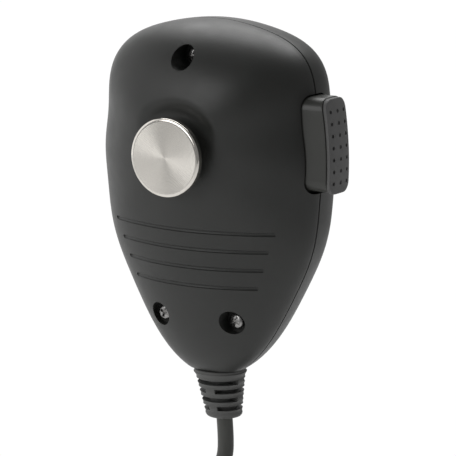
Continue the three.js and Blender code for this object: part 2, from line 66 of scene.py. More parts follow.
# the back's height at the centre, its slope and its curve along the case
BACK_CROWN = (19.13 * MM, 6.77 * MM, 4.83 * MM)
CROWN_SPAN = 50 * MM
FRONT_DEPTH = 13.8 * MM
BACK_POWER = 2 / 1.79
FRONT_POWER = 2 / 2.32
FRONT_FLATNESS = 2 / 11.8
WALL = 2.2 * MM
SHELL_BOTTOM_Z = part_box("rear_shell")[0][2]
SHELL_FLOOR_Z = -55.8 * MM

# screw wells: x, z and the depth of the seat
WELLS = {
    "case_screw_top": (0.0, 24.2 * MM, 15.5 * MM),
    "case_screw_lower_left": (-10.7 * MM, -43.7 * MM, 18.4 * MM),
    "case_screw_lower_right": (10.7 * MM, -43.7 * MM, 18.4 * MM),
}
OUTSIDE_Y = -10 * MM  # where the cutters that go in from the back start
SCREW_HOLE, BUTTON_HOLE, BOSS, POST, BUTTON_PAD = 1.65 * MM, 1.8 * MM, 4.7 * MM, 3.3 * MM, 8 * MM
# grip grooves: the height and the half length of each, in millimetres
GROOVES = ((-19.6, 23.9), (-24.4, 21.9), (-29.3, 20.2), (-34.2, 18.4))
# the grille of slots in the front
GRILLE_Z, GRILLE_PITCH, GRILLE_HALF_HEIGHT = 12, 2.3, 0.55 * MM

# cord: the points of its free stretch, then the coil that they lead into
CORD_RADIUS = 2.15 * MM
COIL_CENTRE = Vector((8, 33, -124.7)) * MM
COIL_MEAN_RADIUS = 22.5 * MM
COIL_TURNS = 7.25
CORD_BEND = 10 * MM
CORD_DROP = [
    (0, 28.65, -72.3), (0, 28.9, -74.2), (0, 29.2, -76.5), (0, 29.4, -80), (0, 29.2, -83.5),
    (-1.2, 28, -87.2), (-1.8, 27.1, -90.0), (-2.0, 26.6, -92.6),
]
PLUG_TOP_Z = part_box("plug_bushing")[1][2]


# ---- mesh helpers ----
def finish_object(name, bm, sharp_degrees=35.0):
    """Turns a bmesh into a smooth-shaded object with its sharp edges marked."""
    mesh = bpy.data.meshes.new(name)
    bm.to_mesh(mesh)
    bm.free()
    mesh.shade_smooth()
    mesh.set_sharp_from_angle(angle=math.radians(sharp_degrees))
    obj = bpy.data.objects.new(name, mesh)
    bpy.context.scene.collection.objects.link(obj)
    return obj


def spun(profile, axis="Y", steps=64):
    """A closed turned form: (radius, height) pairs spun once about an axis."""
    bm = bmesh.new()
    upright = axis == "Z"
    points = [(r, 0, h) if upright else (r, h, 0) for r, h in profile]
    verts = [bm.verts.new(point) for point in points]
    edges = [bm.edges.new(pair) for pair in zip(verts, verts[1:])]
    turn_axis = (0, 0, 1) if upright else (0, 1, 0)
    bmesh.ops.spin(bm, geom=verts + edges, cent=(0, 0, 0), axis=turn_axis,
                   angle=2 * math.pi, steps=steps, use_merge=True)
    bmesh.ops.remove_doubles(bm, verts=bm.verts, dist=1e-7)
    bmesh.ops.recalc_face_normals(bm, faces=bm.faces)
    return bm


def shifted(bm, x=0.0, y=0.0, z=0.0):
    """Moves a bmesh and hands it back."""
    bmesh.ops.translate(bm, verts=bm.verts, vec=(x, y, z))
    return bm


def rounded_block(low, high, radius=0.0, segments=4, along=None):
    """A box with all its edges rounded, or only the edges along one axis."""
    bm = bmesh.new()
    low, high = Vector(low), Vector(high)
    bmesh.ops.create_cube(bm, size=1.0)
    bmesh.ops.scale(bm, verts=bm.verts, vec=high - low)
    bmesh.ops.translate(bm, verts=bm.verts, vec=(low + high) / 2)
    if radius:
        edges = bm.edges[:]
        if along is not None:
            edges = [e for e in edges if abs((e.verts[0].co - e.verts[1].co)[along]) > 1e-7]
        bmesh.ops.bevel(bm, geom=edges, offset=radius, offset_type="OFFSET", segments=segments,
                        profile=0.5, affect="EDGES", material=-1)
    return bm


def combine(target, tool_bm, operation="DIFFERENCE"):
    """Cuts, joins or intersects an object with a bmesh and keeps the result in the object's mesh."""
    tool = finish_object("tool", tool_bm)
    modifier = target.modifiers.new("join", "BOOLEAN")
    modifier.operation = operation
    modifier.solver = "EXACT"
    modifier.object = tool
    graph = bpy.context.evaluated_depsgraph_get()
    result = bpy.data.meshes.new_from_object(target.evaluated_get(graph), depsgraph=graph)
    target.modifiers.remove(modifier)
    old = target.data
    target.data = result
    result.name = target.name
    bpy.data.meshes.remove(old)
    tool_mesh = tool.data
    bpy.data.objects.remove(tool)
    bpy.data.meshes.remove(tool_mesh)
    return target


def tidy_shading(obj, sharp_degrees=32.0):
    """Marks the sharp edges again after the cuts."""
    bm = bmesh.new()
    bm.from_mesh(obj.data)
    bmesh.ops.dissolve_degenerate(bm, edges=bm.edges, dist=1e-7)
    bm.to_mesh(obj.data)
    bm.free()
    obj.data.shade_smooth()
    obj.data.set_sharp_from_angle(angle=math.radians(sharp_degrees))
    return obj


def joined(parts):
    """Several bmeshes in one."""
    whole = bmesh.new()
    for part in parts:
        mesh = bpy.data.meshes.new("part")
        part.to_mesh(mesh)
        part.free()
        whole.from_mesh(mesh)
        bpy.data.meshes.remove(mesh)
    return whole


def cylinder_y(x, z, radius, y_from, y_to, steps=48):
    """A plain cylinder along Y."""
    bm = spun([(0, y_from), (radius, y_from), (radius, y_to), (0, y_to)], "Y", steps)
    return shifted(bm, x=x, z=z)


def dress(obj, material, body, nodes=()):
    """Gives a piece its material, its body and the nodes it stands for."""
    obj.data.materials.clear()
    obj.data.materials.append(material)
    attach(obj, body)
    if nodes:
        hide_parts(*nodes)
    return obj


# ---- the pebble form ----
def outline_radius(angle):
    """The outline's radius at an angle above +X: a cosine series through the evenly spaced knots."""
    from_top = math.pi / 2 - math.asin(max(-1.0, min(1.0, math.sin(angle))))
    last = len(OUTLINE_KNOTS) - 1
    total = 0.0
    for k in range(last + 1):
        part = 0.0
        for i, knot in enumerate(OUTLINE_KNOTS):
            half = 0.5 if i in (0, last) else 1.0
            part += half * knot * math.cos(math.pi * i * k / last)
        half = 0.5 if k in (0, last) else 1.0
        total += half * 2 / last * part * math.cos(k * from_top)
    return total * MM


def crown(z):
    """The back's height above the parting plane, on the centre line."""
    q = (z - OUTLINE_Z) / CROWN_SPAN
    return BACK_CROWN[0] + BACK_CROWN[1] * q + BACK_CROWN[2] * q * q


def back_surface(x, z):
    """Depth y of the back's outer surface at (x, z)."""
    angle = math.atan2(z - OUTLINE_Z, x)
    fraction = min(1.0, math.hypot(x, z - OUTLINE_Z) / outline_radius(angle))
    return PARTING_Y - crown(z) * (1 - fraction * fraction) ** (BACK_POWER / 2)


def pebble(inset, steps, back_rings, front_rings):
    """The whole closed form, drawn in by an inset."""
    profile = []
    for i in range(back_rings + 1):
        t = math.pi / 2 * i / back_rings
        profile.append((math.sin(t), -max(0.0, math.cos(t)) ** BACK_POWER))
    for i in range(front_rings - 1, -1, -1):
        t = math.pi / 2 * i / front_rings
        profile.append((math.sin(t) ** FRONT_FLATNESS if i else 0.0, math.cos(t) ** FRONT_POWER))
    profile[0] = (0.0, -1.0)
    profile[back_rings] = (1.0, 0.0)
    bm = spun(profile, "Y", steps)
    radii = {}
    for vert in bm.verts:
        across, depth, up = vert.co
        fraction = math.hypot(across, up)
        angle = math.atan2(up, across)
        key = round(angle, 5)
        if key not in radii:
            radii[key] = outline_radius(angle) - inset
        size = fraction * radii[key]
        z = OUTLINE_Z + size * math.sin(angle)
        reach = crown(z) - inset if depth < 0 else FRONT_DEPTH - inset
        vert.co = (size * math.cos(angle), PARTING_Y + depth * reach, z)
    bmesh.ops.recalc_face_normals(bm, faces=bm.faces)
    return bm


def trimmed(bm, point, normal):
    """Keeps the side that the normal points away from, and closes the cut."""
    geom = bm.verts[:] + bm.edges[:] + bm.faces[:]
    cut = bmesh.ops.bisect_plane(bm, geom=geom, dist=1e-8, plane_co=point, plane_no=normal,
                                 clear_outer=True)
    edges = [item for item in cut["geom_cut"] if isinstance(item, bmesh.types.BMEdge)]
    bmesh.ops.holes_fill(bm, edges=edges, sides=0)
    bmesh.ops.recalc_face_normals(bm, faces=bm.faces)
    return bm


def eased(bm, level):
    """Eases the outer edge of the cut at a level of y."""
    rim = [e for e in bm.edges if all(abs(v.co.y - level) < 1e-7 for v in e.verts)
           and e.is_manifold and e.calc_face_angle() > 0.6]
    bmesh.ops.bevel(bm, geom=rim, offset=SEAM_EASE, offset_type="OFFSET", segments=2,
                    profile=0.5, affect="EDGES", clamp_overlap=True, material=-1)
    return bm


# ---- materials ----
def principled(name, color, roughness, metallic=0.0, specular=0.5):
    """A material with its shader, ready for more nodes."""
    material = bpy.data.materials.new(name)
    material.use_nodes = True
    shader = material.node_tree.nodes["Principled BSDF"]
    shader.inputs["Base Color"].default_value = (*color, 1)
    shader.inputs["Roughness"].default_value = roughness
    shader.inputs["Metallic"].default_value = metallic
    shader.inputs["Specular IOR Level"].default_value = specular
    return material, shader


def noise(tree, scale, detail=3.0, stretch=None):
    """A noise texture on object coordinates, in cycles per metre."""
    coords = tree.nodes.new("ShaderNodeTexCoord")
    texture = tree.nodes.new("ShaderNodeTexNoise")
    texture.inputs["Scale"].default_value = scale
    texture.inputs["Detail"].default_value = detail
    source = coords.outputs["Object"]
    if stretch:
        mapping = tree.nodes.new("ShaderNodeMapping")
        mapping.inputs["Scale"].default_value = stretch
        tree.links.new(source, mapping.inputs["Vector"])
        source = mapping.outputs["Vector"]
    tree.links.new(source, texture.inputs["Vector"])
    return texture.outputs["Fac"]


def bump(tree, shader, height, strength, distance):
    """Gives the surface fine relief from a height value."""
    node = tree.nodes.new("ShaderNodeBump")
    node.inputs["Strength"].default_value = strength
    node.inputs["Distance"].default_value = distance
    tree.links.new(height, node.inputs["Height"])
    tree.links.new(node.outputs["Normal"], shader.inputs["Normal"])


def spread(tree, value, low, high, target):
    """Maps a 0 to 1 value onto a range for a socket."""
    node = tree.nodes.new("ShaderNodeMapRange")
    node.inputs["From Min"].default_value = 0.3
    node.inputs["From Max"].default_value = 0.7
    node.inputs["To Min"].default_value = low
    node.inputs["To Max"].default_value = high
    tree.links.new(value, node.inputs["Value"])
    tree.links.new(node.outputs["Result"], target)


def tint(tree, value, color_a, color_b, target):
    """Mixes two colours by a 0 to 1 value."""
    ramp = tree.nodes.new("ShaderNodeValToRGB")
    ramp.color_ramp.elements[0].position = 0.32
    ramp.color_ramp.elements[1].position = 0.68
    ramp.color_ramp.elements[0].color = (*color_a, 1)
    ramp.color_ramp.elements[1].color = (*color_b, 1)
    tree.links.new(value, ramp.inputs["Fac"])
    tree.links.new(ramp.outputs["Color"], target)


def moulded(name, color, roughness, grain=0.03, grain_scale=2600.0):
    """Moulded plastic or rubber: fine spark-eroded grain and faint colour and gloss drift."""
    material, shader = principled(name, color, roughness)
    tree = material.node_tree
    drift = noise(tree, 60.0, 2.0)
    lighter = tuple(min(1.0, c * 1.07) for c in color)
    darker = tuple(c * 0.93 for c in color)
    tint(tree, drift, darker, lighter, shader.inputs["Base Color"])
    spread(tree, noise(tree, 240.0, 4.0), roughness - 0.03, roughness + 0.03,
           shader.inputs["Roughness"])
    bump(tree, shader, noise(tree, grain_scale, 2.0), 0.5, grain * MM)
    return material


def metal(name, color, roughness, scratch=0.004, stretch=(1, 1, 1)):
    """Machined or plated metal with faint tool marks."""
    material, shader = principled(name, color, roughness, 1.0)
    tree = material.node_tree
    marks = noise(tree, 1500.0, 3.0, stretch)
    spread(tree, marks, roughness * 0.8, roughness * 1.25, shader.inputs["Roughness"])
    bump(tree, shader, marks, 0.4, scratch * MM)
    return material


def turned_steel(name, color, roughness):
    """Steel turned on a lathe about Y: fine rings, sheen in opposite sectors."""
    material, shader = principled(name, color, roughness, 1.0)
    tree = material.node_tree
    shader.inputs["Anisotropic"].default_value = 0.75
    tangent = tree.nodes.new("ShaderNodeTangent")
    tangent.direction_type = "RADIAL"
    tangent.axis = "Y"
    tree.links.new(tangent.outputs["Tangent"], shader.inputs["Tangent"])
    coords = tree.nodes.new("ShaderNodeTexCoord")
    rings = tree.nodes.new("ShaderNodeTexWave")
    rings.wave_type = "RINGS"
    rings.rings_direction = "Y"
    rings.inputs["Scale"].default_value = 900.0
    rings.inputs["Distortion"].default_value = 1.5
    rings.inputs["Detail"].default_value = 3.0
    tree.links.new(coords.outputs["Object"], rings.inputs["Vector"])
    bump(tree, shader, rings.outputs["Fac"], 0.25, 0.004 * MM)
    spread(tree, rings.outputs["Fac"], roughness * 0.9, roughness * 1.1, shader.inputs["Roughness"])
    return material


# ---- the adjustable values ----
class CaseLook(bpy.types.PropertyGroup):
    """Sizes and colour of the case."""
    color: bpy.props.FloatVectorProperty(
        name="Case colour", description="Moulded plastic of both shells", subtype="COLOR",
        size=3, default=(0.019, 0.0199, 0.0181), min=0, max=1)
    roughness: bpy.props.FloatProperty(
        name="Case roughness", description="Satin finish of the shells", default=0.43, min=0, max=1)
    groove_radius: bpy.props.FloatProperty(
        name="Groove radius", description="Radius of the tool that cuts the grip grooves",
        unit="LENGTH", default=0.53 * MM)
    dish_radius: bpy.props.FloatProperty(
        name="Dish radius", description="Radius of the dish round the button's neck",
        unit="LENGTH", default=12.7 * MM)
    well_radius: bpy.props.FloatProperty(
        name="Well radius", description="Radius of the screw wells", unit="LENGTH",
        default=3.15 * MM)


class TalkLook(bpy.types.PropertyGroup):
    """Sizes and colours of the talk bar."""
    bar_color: bpy.props.FloatVectorProperty(
        name="Bar colour", description="Moulded plastic of the bar", subtype="COLOR", size=3,
        default=(0.036, 0.037, 0.033), min=0, max=1)
    pad_color: bpy.props.FloatVectorProperty(
        name="Pad colour", description="Rubber of the grip pad", subtype="COLOR", size=3,
        default=(0.1, 0.1, 0.099), min=0, max=1)
    dimple_radius: bpy.props.FloatProperty(
        name="Dimple radius", description="Radius of the pad's dimples", unit="LENGTH",
        default=0.55 * MM)


class ButtonLook(bpy.types.PropertyGroup):
    """Sizes and colour of the hang-up button and the screws."""
    color: bpy.props.FloatVectorProperty(
        name="Steel colour", description="Turned steel of the button", subtype="COLOR", size=3,
        default=(0.775, 0.743, 0.69), min=0, max=1)
    roughness: bpy.props.FloatProperty(
        name="Steel roughness", description="Finish of the turned face", default=0.3, min=0, max=1)
    edge: bpy.props.FloatProperty(
        name="Edge", description="Width of the polished edge", unit="LENGTH", default=0.55 * MM)


class CordLook(bpy.types.PropertyGroup):
    """Length and colours of the cord and its strain relief."""
    length: bpy.props.FloatProperty(
        name="Cord length", description="Length of the cord from the strain relief to the plug",
        unit="LENGTH", default=1.1)
    jacket_color: bpy.props.FloatVectorProperty(
        name="Jacket colour", description="The cord's jacket", subtype="COLOR", size=3,
        default=(0.05, 0.051, 0.046), min=0, max=1)
    boot_color: bpy.props.FloatVectorProperty(
        name="Boot colour", description="Rubber of the strain relief", subtype="COLOR", size=3,
        default=(0.085, 0.086, 0.083), min=0, max=1)


class StageLook(bpy.types.PropertyGroup):
    """The camera and the light."""
    lens: bpy.props.FloatProperty(
        name="Lens", description="Focal length in millimetres", default=239.65)
    key_power: bpy.props.FloatProperty(
        name="Key power", description="Power of the softbox overhead", unit="POWER", default=5.5)
    fill_power: bpy.props.FloatProperty(
        name="Fill power", description="Power of the wide panel at the left",
        unit="POWER", default=9.0)
    front_power: bpy.props.FloatProperty(
        name="Front power", description="Power of the small softbox in front", unit="POWER",
        default=2.4)


# ---- stage ----
CAMERA_AZIMUTH = math.radians(31.52)
CAMERA_ELEVATION = math.radians(10.89)
CAMERA_PLACE = Vector((403.93, -628.17, 125.89)) * MM
FLOOR_Z = -0.30
SWEEP_LEFT = -2.0
SWEEP_STRIPS = (2.34, 1.66)
SWEEP_NEAR, SWEEP_FAR, SWEEP_BEND, SWEEP_TOP = -1.2, 2.6, 0.5, 2.0
BEND_STEPS = 12
LIT_FROM_Y = 0.5
LIT_EMISSION, FLOOR_EMISSION, ROOM_LIGHT = 1.02, 0.2, 0.22


class MIC_OT_stage(bpy.types.Operator):
    """Camera, pale sweep and softboxes"""
    bl_idname = "mic.stage"
    bl_label = "Stage"

    def execute(self, context):
        look = context.scene.mic_stage
        scene = context.scene
        azimuth, elevation = CAMERA_AZIMUTH, CAMERA_ELEVATION
        right = Vector((math.cos(azimuth), math.sin(azimuth), 0))
        up = Vector((-math.sin(azimuth) * math.sin(elevation),
                     math.cos(azimuth) * math.sin(elevation), math.cos(elevation)))
        back = right.cross(up)
        data = bpy.data.cameras.new("camera")
        data.lens = look.lens
        data.sensor_width = 36
        data.clip_start = 0.01
        camera = bpy.data.objects.new("camera", data)
        turn = Matrix((right, up, back)).transposed().to_4x4()
        camera.matrix_world = Matrix.Translation(CAMERA_PLACE) @ turn
        scene.collection.objects.link(camera)
        scene.camera = camera
        self.sweep(scene)
        self.lights(scene, look)
        scene.view_settings.view_transform = "Standard"
        return {"FINISHED"}

    def sweep(self, scene):
        """A pale floor that curves up into a lit wall behind."""
        profile = [(SWEEP_NEAR, FLOOR_Z), (LIT_FROM_Y, FLOOR_Z), (SWEEP_FAR, FLOOR_Z)]
        for i in range(1, BEND_STEPS + 1):
            t = math.pi / 2 * i / BEND_STEPS
            profile.append((SWEEP_FAR + SWEEP_BEND * math.sin(t),
                            FLOOR_Z + SWEEP_BEND * (1 - math.cos(t))))
        profile.append((SWEEP_FAR + SWEEP_BEND, SWEEP_TOP))
        bm = bmesh.new()
        verts = [bm.verts.new((SWEEP_LEFT, y, z)) for y, z in profile]
        edges = [bm.edges.new(pair) for pair in zip(verts, verts[1:])]
        for width in SWEEP_STRIPS:
            side = bmesh.ops.extrude_edge_only(bm, edges=edges)
            moved = [item for item in side["geom"] if isinstance(item, bmesh.types.BMVert)]
            edges = [item for item in side["geom"] if isinstance(item, bmesh.types.BMEdge)
                     and all(v in moved for v in item.verts)]
            bmesh.ops.translate(bm, verts=moved, vec=(width, 0, 0))
        azimuth = Matrix.Rotation(CAMERA_AZIMUTH, 3, "Z")
        bmesh.ops.rotate(bm, verts=bm.verts, cent=(0, 0, 0), matrix=azimuth)
        obj = finish_object("sweep", bm)
        lit, shader = principled("lit_wall", (0.0, 0.0, 0.0), 1.0, specular=0.0)
        shader.inputs["Emission Color"].default_value = (1, 1, 1, 1)
        shader.inputs["Emission Strength"].default_value = LIT_EMISSION
        plain, shader = principled("pale_floor", (0.8, 0.8, 0.8), 0.9)
        shader.inputs["Emission Color"].default_value = (1, 1, 1, 1)
        shader.inputs["Emission Strength"].default_value = FLOOR_EMISSION
        obj.data.materials.append(plain)
        obj.data.materials.append(lit)
        lit_to_x = SWEEP_LEFT + SWEEP_STRIPS[0]
        for polygon in obj.data.polygons:
            place = azimuth.inverted() @ polygon.center
            behind = place.y > LIT_FROM_Y and place.x < lit_to_x
            polygon.material_index = 1 if behind else 0

    def lights(self, scene, look):
        """Softboxes overhead and at the left, and a dim room."""
        spots = (
            ("overhead", (-0.1, 0.4, 0.64), (0, 0.02, 0.02), (0.9, 0.5), look.key_power),
            ("left", (-1.5, -0.4, 0.3), (0, 0, 0), (2.1, 1.8), look.fill_power),
            ("front", (-0.3, -0.9, 0.3), (0, 0, 0), (0.55, 0.55), look.front_power),
        )
        for name, place, aim, size, power in spots:
            data = bpy.data.lights.new(name, "AREA")
            data.shape = "RECTANGLE"
            data.size, data.size_y = size
            data.energy = power
            lamp = bpy.data.objects.new(name, data)
            lamp.location = place
            way = Vector(aim) - Vector(place)
            lamp.rotation_euler = way.to_track_quat("-Z", "Y").to_euler()
            scene.collection.objects.link(lamp)
        world = bpy.data.worlds.new("room")
        world.use_nodes = True
        background = world.node_tree.nodes["Background"]
        background.inputs["Color"].default_value = (1, 1, 1, 1)
        background.inputs["Strength"].default_value = ROOM_LIGHT
        scene.world = world


# ---- cord ----
def cord_route():
    """The cord's centre line from the strain relief, round the coil and down to the plug."""
    points = [Vector(point) * MM for point in CORD_DROP]
    outer = COIL_MEAN_RADIUS + CORD_RADIUS
    inner = COIL_MEAN_RADIUS - CORD_RADIUS
    near = -3 * CORD_RADIUS
    for degrees in (22, 42, 60, 76):
        t = math.radians(degrees)
        points.append(Vector((
            COIL_CENTRE.x - CORD_BEND * math.cos(t), COIL_CENTRE.y + near,
            COIL_CENTRE.z + outer + CORD_BEND * (1 - math.sin(t)))))
    # lanes in the order that the cord fills them, outside and inside by turns
    lanes = []
    for column in range(4):
        side = near + 2 * CORD_RADIUS * column
        pair = [(outer, side), (inner, side)]
        lanes += pair if column % 2 == 0 else pair[::-1]
    per_turn = 24
    for i in range(int(COIL_TURNS * per_turn) + 1):
        turn, part = divmod(i / per_turn, 1.0)
        lane = int(turn)
        change = min(1.0, max(0.0, (part - 0.5) / 0.4))
        change = change * change * (3 - 2 * change)
        here = lanes[lane]
        following = lanes[min(lane + 1, len(lanes) - 1)]
        radius = here[0] + (following[0] - here[0]) * change
        side = here[1] + (following[1] - here[1]) * change
        angle = 2 * math.pi * part
        across, up = radius * math.sin(angle), radius * math.cos(angle)
        points.append(COIL_CENTRE + Vector((across, side, up)))
    last = points[-1]
    for z in (last.z - 0.008, last.z - 0.018, last.z - 0.03, PLUG_TOP_Z + 0.006, PLUG_TOP_Z):
        points.append(Vector((last.x, last.y, z)))
    return points


class MIC_OT_cord(bpy.types.Operator):
    """The cord, its coil and the tie round it"""
    bl_idname = "mic.cord"
    bl_label = "Cord"

    def execute(self, context):
        look = context.scene.mic_cord
        jacket = moulded("cord_jacket", look.jacket_color, 0.5, grain=0.012, grain_scale=3500.0)
        route = cord_route()
        curve = bpy.data.curves.new("cord", "CURVE")
        curve.dimensions = "3D"
        curve.bevel_depth = CORD_RADIUS
        curve.bevel_resolution = 6
        curve.use_fill_caps = True
        curve.resolution_u = 5
        spline = curve.splines.new("NURBS")
        spline.points.add(len(route) - 1)
        for point, place in zip(spline.points, route):
            point.co = (*place, 1)
        spline.order_u = 4
        spline.use_endpoint_u = True
        cord = bpy.data.objects.new("cord", curve)
        context.scene.collection.objects.link(cord)
        cord.data.materials.append(jacket)
        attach(cord, "case")
        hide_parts("cord_drop", "cord_coil", "cord_tail")
        tie = self.tie()
        [tie] + plug_pieces()
        return {"FINISHED"}

    def tie(self):
        """A hook-and-loop strap round the bundle."""
        low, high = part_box("coil_tie")
        low, high = Vector(low), Vector(high)
        thick = 1.1 * MM
        skin = Vector((0, thick, thick))
        bm = rounded_block(low + skin, high - skin, 2.4 * MM, 5, along=0)
        ends = [f for f in bm.faces if abs(f.normal.x) > 0.9]
        bmesh.ops.delete(bm, geom=ends, context="FACES_ONLY")
        bmesh.ops.recalc_face_normals(bm, faces=bm.faces)
        obj = finish_object("coil_strap", bm)
        solid = obj.modifiers.new("thickness", "SOLIDIFY")
        solid.thickness = thick
        solid.offset = 1
        webbing = moulded("strap_webbing", (0.014, 0.014, 0.014), 0.85, 0.08, 1200.0)
        return dress(obj, webbing, "case", ["coil_tie"])


def plug_pieces():
    """Names of what hangs on the cord's end."""
    names = ["plug_collar", "plug_barrel", "plug_ring", "plug_insulator"]
    names += [f"plug_contact_{i}" for i in range(1, 9)]
    return names


# ---- case ----
class MIC_OT_case(bpy.types.Operator):
    """Both shells of the case, with wells, grooves and openings"""
    bl_idname = "mic.case"
    bl_label = "Case"

    def execute(self, context):
        look = context.scene.mic_case
        plastic = moulded("case_plastic", look.color, look.roughness)
        rear = self.shell("rear_case", pebble(0, 288, 72, 48), -1)
        front = self.shell("front_case", pebble(0, 288, 48, 72), 1)
        self.sink_dish(rear, look.dish_radius)
        combine(rear, self.rear_cavity())
        combine(front, self.front_cavity())
        combine(rear, self.wells(look.well_radius))
        combine(rear, self.screw_holes())
        for z, half in GROOVES:
            combine(rear, self.groove(z * MM, half * MM, look.groove_radius))
        combine(front, self.grille())
        for shell in (rear, front):
            combine(shell, self.talk_opening())
            combine(shell, self.cord_entry())
            tidy_shading(shell)
        dress(rear, plastic, "case", ["rear_shell"])
        dress(front, plastic, "case", ["front_shell"])
        return {"FINISHED"}

    def shell(self, name, form, side):
        """One shell's outer form; side is -1 for the rear and 1 for the front."""
        level = PARTING_Y + side * SEAM
        form = trimmed(form, (0, level, 0), (0, -side, 0))
        form = trimmed(form, (0, 0, SHELL_BOTTOM_Z), (0, 0, -1))
        return finish_object(name, eased(form, level))

    def wells(self, radius):
        """The wells that the screws sit in."""
        return joined([cylinder_y(x, z, radius, OUTSIDE_Y, seat) for x, z, seat in WELLS.values()])

    def screw_holes(self):
        """Clearance holes for the case screws and the button's screw."""
        holes = [cylinder_y(x, z, SCREW_HOLE, OUTSIDE_Y, 0.2, 24) for x, z, _ in WELLS.values()]
        holes.append(cylinder_y(0, 0, BUTTON_HOLE, OUTSIDE_Y, 12 * MM, 24))
        return joined(holes)

    def grille(self):
        """Five slots over the capsule, the middle one the longest."""
        slots = []
        for i in range(-2, 3):
            width, z = (6 - abs(i)) * MM, (GRILLE_Z + GRILLE_PITCH * i) * MM
            low = (-width, 34 * MM, z - GRILLE_HALF_HEIGHT)
            high = (width, 60 * MM, z + GRILLE_HALF_HEIGHT)
            slots.append(rounded_block(low, high, 0.5 * MM, 4, along=1))
        return joined(slots)

    def cord_entry(self):
        """The hole that the strain relief's neck stands in."""
        radius, low, high = 4.5 * MM, -70 * MM, -54 * MM
        entry = spun([(0, low), (radius, low), (radius, high), (0, high)], "Z")
        return shifted(entry, y=26.23 * MM)

    def cavity(self):
        """The room inside both shells."""
        return trimmed(pebble(WALL, 96, 24, 24), (0, 0, SHELL_FLOOR_Z), (0, 0, -1))

    def rear_cavity(self):
        """The hollow, less the bosses round the wells and the pad behind the button."""
        cavity = finish_object("hollow", self.cavity())
        bosses = [cylinder_y(x, z, BOSS, OUTSIDE_Y, seat + 1.8 * MM)
                  for x, z, seat in WELLS.values()]
        bosses.append(cylinder_y(0, 0, BUTTON_PAD, OUTSIDE_Y, 9 * MM))
        combine(cavity, joined(bosses))
        return self.taken(cavity)

    def front_cavity(self):
        """The hollow, less the posts that the screws bite in."""
        cavity = finish_object("hollow", self.cavity())
        posts = [cylinder_y(x, z, POST, seat, 60 * MM) for x, z, seat in WELLS.values()]
        combine(cavity, joined(posts))
        return self.taken(cavity)

    def taken(self, obj):
        """The object's mesh as a bmesh, with the object removed."""
        bm = bmesh.new()
        bm.from_mesh(obj.data)
        mesh = obj.data
        bpy.data.objects.remove(obj)
        bpy.data.meshes.remove(mesh)
        return bm

    def sink_dish(self, obj, radius):
        """Sinks the soft-edged dish round the button into the back."""
        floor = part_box("hang_up_button")[1][1] + GAP
        soft = 2.0 * MM
        for vert in obj.data.vertices:
            across = math.hypot(vert.co.x, vert.co.z)
            if vert.co.y < floor + 0.5 * soft and across < radius + soft:
                share = min(1.0, max(0.0, (radius + soft - across) / (2 * soft)))
                share = share * share * (3 - 2 * share)
                deeper = floor - vert.co.y
                smooth = 0.5 * (deeper + math.hypot(deeper, 0.25 * MM))
                vert.co.y += share * smooth

    def groove(self, z, half, radius):
        """A round-ended bar that follows the back's surface."""
        bm = bmesh.new()
        inner = half - radius
        places = [-half + radius * (1 - math.cos(math.pi / 12 * i)) for i in range(7)]
        places += [-inner + 2 * inner * i / 30 for i in range(1, 30)]
        places += [-x for x in reversed(places[:7])]
        rings = []
        for x in places:
            past = max(0.0, (abs(x) - inner) / radius)
            size = radius * math.sqrt(max(0.01, 1 - past * past))
            y = back_surface(x, z) - 0.12 * MM
            ring = bmesh.ops.create_circle(bm, cap_ends=False, segments=16, radius=size)["verts"]
            bmesh.ops.rotate(bm, verts=ring, cent=(0, 0, 0),
                             matrix=Matrix.Rotation(math.pi / 2, 3, "Y"))
            bmesh.ops.translate(bm, verts=ring, vec=(x, y, z))
            rings.append(ring)
        for one, two in zip(rings, rings[1:]):
            edges = [e for v in one for e in v.link_edges if e.other_vert(v) in one]
            edges += [e for v in two for e in v.link_edges if e.other_vert(v) in two]
            bmesh.ops.bridge_loops(bm, edges=list(set(edges)))
        bmesh.ops.holes_fill(bm, edges=bm.edges, sides=0)
        bmesh.ops.recalc_face_normals(bm, faces=bm.faces)
        return bm

    def talk_opening(self):
        """The opening that the talk bar stands in."""
        return rounded_block((26.8 * MM, 18.45 * MM, -9.65 * MM), (0.06, 29.75 * MM, 15.45 * MM),
                             3.4 * MM, 8, along=0)


# ---- hang-up button and screws ----
class MIC_OT_button(bpy.types.Operator):
    """The turned steel hang-up button"""
    bl_idname = "mic.button"
    bl_label = "Hang-up button"

    def execute(self, context):
        look = context.scene.mic_button
        low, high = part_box("hang_up_button")
        radius = (high[0] - low[0]) / 2
        head, neck = 1.9 * MM, 4.2 * MM
        edge = look.edge
        profile = [(0, 0), (radius - 1.6 * edge, 0)]
        for i in range(1, 6):
            t = math.pi / 2 * i / 5
            profile.append((radius - edge + edge * math.sin(t) * 0.98,
                            edge * 0.85 * (1 - math.cos(t))))
        profile += [(radius, edge), (radius, head - 0.2 * MM), (radius - 0.2 * MM, head),
                    (neck, head), (neck, high[1]), (1.75 * MM, high[1]), (1.75 * MM, 2.4 * MM),
                    (0, 2.4 * MM)]
        button = finish_object("steel_button", spun(profile, "Y", 160), 25.0)
        face = turned_steel("turned_face", look.color, look.roughness)
        polish = metal("polished_edge", tuple(look.color), 0.12, 0.001)
        dress(button, face, "case", ["hang_up_button"])
        button.data.materials.append(polish)
        for polygon in button.data.polygons:
            place = polygon.center
            on_face = place.y < 0.05 * MM and math.hypot(place.x, place.z) < radius - 1.5 * edge
            polygon.material_index = 0 if on_face else 1
        return {"FINISHED"}


